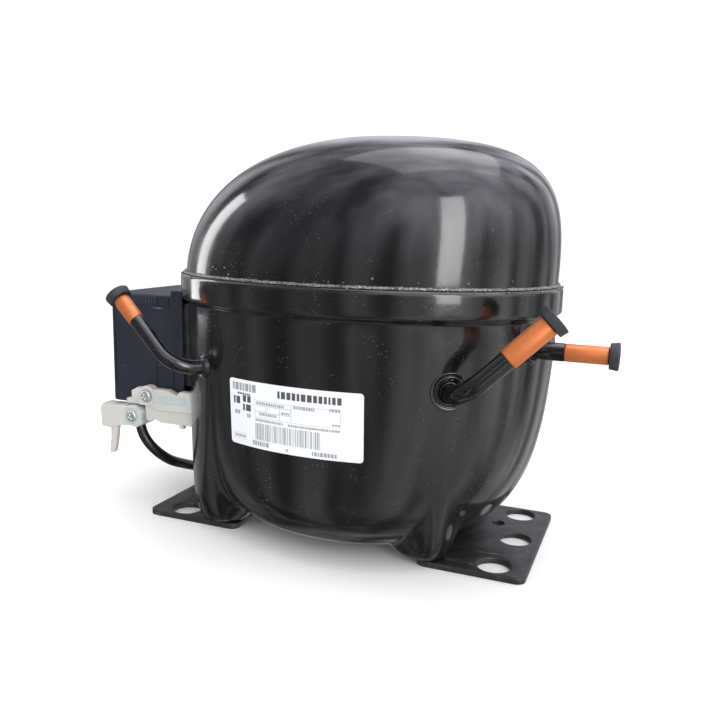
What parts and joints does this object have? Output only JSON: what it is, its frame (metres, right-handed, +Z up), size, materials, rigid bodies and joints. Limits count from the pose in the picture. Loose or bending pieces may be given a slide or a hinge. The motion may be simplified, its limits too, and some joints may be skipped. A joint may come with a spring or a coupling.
{
  "type": "hermetic reciprocating compressor",
  "caption": "Sealed refrigeration compressor: black domed steel shell on drilled base plates, bent tube stubs with copper ends and rubber plugs, relay box with white cord clamp and lead.",
  "frame": {"origin": "centre of the four base bolt holes, on the underside of the base plates", "axes": "+Z up, square to the base plates; +X towards the end with the process tube, -X towards the relay box; -Y towards the side with the label, the suction tube and the discharge tube"},
  "size_m": [0.2738, 0.1514, 0.2009],
  "materials": {
    "shell_paint": "gloss black paint",
    "weld": "rough weld bead under thin paint",
    "plate": "matt black paint",
    "label": "printed polyester film",
    "tube_paint": "gloss black paint",
    "copper": "bare copper, satin",
    "rubber": "matt rubber",
    "steel": "plain steel",
    "zinc": "bright zinc plate",
    "glass": "sealing glass",
    "navy_plastic": "moulded dark blue-grey plastic",
    "cream_plastic": "moulded plastic",
    "nylon": "natural nylon",
    "dark_plastic": "moulded black plastic",
    "cord_jacket": "smooth black jacket",
    "iron": "machined cast iron",
    "laminate": "stacked laminations",
    "winding": "enamelled wire",
    "bronze": "sintered bronze",
    "spring_steel": "spring steel",
    "gasket": "fibre gasket",
    "aluminium": "die-cast"
  },
  "bodies": {
    "shell": {"shell_lower": "shell_paint", "shell_upper": "shell_paint", "weld_bead": "weld", "base_plate_left": "plate", "base_plate_right": "plate", "rating_label": "label", "suction_collar": "tube_paint", "discharge_collar": "tube_paint", "process_collar": "tube_paint", "suction_tube": "tube_paint", "discharge_tube": "tube_paint", "process_tube": "tube_paint", "suction_stub": "copper", "discharge_stub": "copper", "process_stub": "copper", "terminal_cup": "steel", "terminal_glass": "glass", "terminal_pins": "zinc", "terminal_fence": "steel", "spring_pins": "dark_plastic", "suspension_springs": "spring_steel", "discharge_line": "steel", "inner_leads": "cream_plastic", "inner_connector": "cream_plastic"},
    "pump_frame": {"crankcase": "iron", "stator_core": "laminate", "stator_windings": "winding", "stator_screws": "steel", "spring_brackets": "steel", "spring_caps": "dark_plastic", "suction_reed": "spring_steel", "valve_plate": "steel", "discharge_reed": "spring_steel", "head_gasket": "gasket", "cylinder_head": "aluminium", "head_bolts": "steel", "suction_muffler": "cream_plastic", "discharge_muffler": "steel"},
    "crank": {"crankshaft": "iron", "counterweight": "iron", "rotor_core": "laminate", "rotor_rings": "aluminium", "oil_pickup": "steel"},
    "oil_gallery_plug": {"gallery_plug": "bronze"},
    "slider": {"slide_block": "bronze"},
    "piston": {"piston_yoke": "steel"},
    "electrics": {"relay_cover": "navy_plastic", "start_relay": "cream_plastic", "overload_protector": "dark_plastic", "clamp_base": "nylon", "clamp_saddle": "nylon", "clamp_screws": "zinc", "lead_cable": "cord_jacket", "start_capacitor": "dark_plastic", "capacitor_clip": "steel"},
    "suction_cap": {"suction_plug": "rubber"},
    "discharge_cap": {"discharge_plug": "rubber"},
    "process_cap": {"process_plug": "rubber"}
  },
  "joints": [
    {"name": "pump_float", "type": "slide", "parent": "shell", "child": "pump_frame", "axis": [0, 0, 1], "range_m": [-0.003, 0.003], "stiffness_N_per_m": 16000, "springref_m": 0.00385, "deforming": ["suspension_springs", "discharge_line", "inner_leads"]},
    {"name": "crank_spin", "type": "hinge", "parent": "pump_frame", "child": "crank", "pos_m": [0, 0, 0.134], "axis": [0, 0, 1], "continuous": true},
    {"name": "slider_hold", "type": "hinge", "parent": "crank", "child": "slider", "pos_m": [0.00825, 0, 0.15], "axis": [0, 0, 1], "continuous": true},
    {"name": "gallery_turn", "type": "hinge", "parent": "crank", "child": "oil_gallery_plug", "pos_m": [0.00413, 0, 0.124], "axis": [0, 0, 1], "continuous": true},
    {"name": "piston_stroke", "type": "hinge", "parent": "oil_gallery_plug", "child": "piston", "pos_m": [0.00825, 0, 0.15], "axis": [0, 0, 1], "continuous": true},
    {"name": "electrics_pull", "type": "slide", "parent": "shell", "child": "electrics", "axis": [-1, 0, 0], "range_m": [0, 0.04]},
    {"name": "suction_plug_pull", "type": "slide", "parent": "shell", "child": "suction_cap", "axis": [0.6994, 0.2138, 0.682], "range_m": [0, 0.06]},
    {"name": "discharge_plug_pull", "type": "slide", "parent": "shell", "child": "discharge_cap", "axis": [-0.7248, 0.098, 0.682], "range_m": [0, 0.06]},
    {"name": "process_plug_pull", "type": "slide", "parent": "shell", "child": "process_cap", "axis": [1, 0, 0], "range_m": [0, 0.06]}
  ],
  "couplings": [
    {"joint": "slider_hold", "follows": "crank_spin", "ratio": -1},
    {"joint": "gallery_turn", "follows": "crank_spin", "ratio": -2},
    {"joint": "piston_stroke", "follows": "crank_spin", "ratio": 1}
  ]
}
